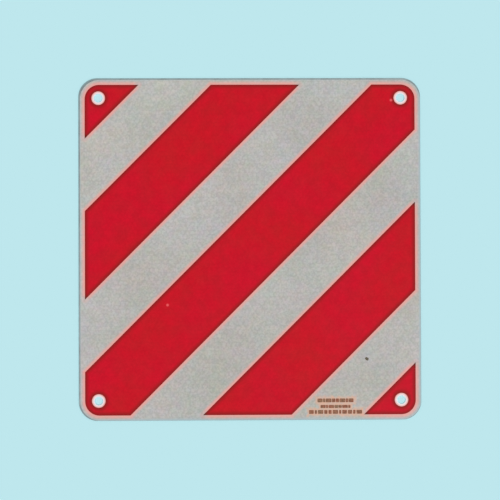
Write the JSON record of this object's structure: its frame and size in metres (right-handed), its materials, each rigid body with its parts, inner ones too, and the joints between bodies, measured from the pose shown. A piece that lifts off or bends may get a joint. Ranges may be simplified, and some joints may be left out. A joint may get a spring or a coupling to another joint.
{
  "type": "overhanging load sign",
  "caption": "Square flat aluminium warning panel with rounded corners and corner holes, faced with white retroreflective sheeting and diagonal red stripes, for the rear of an overhanging load.",
  "frame": {"origin": "centre of the panel's back face", "axes": "+Z out of the striped front, +Y towards the top of the sign, +X towards its right-hand side as read"},
  "size_m": [0.5, 0.5, 0.0014],
  "materials": {
    "aluminium": "mill finish sheet",
    "sheeting": "retroreflective sheeting, silver white",
    "red_ink": "transparent red ink on sheeting"
  },
  "bodies": {
    "root": {"panel": "aluminium", "reflective_sheeting": "sheeting", "red_stripe_1": "red_ink", "red_stripe_2": "red_ink", "red_stripe_3": "red_ink", "red_stripe_4": "red_ink", "red_stripe_5": "red_ink"}
  },
  "joints": []
}
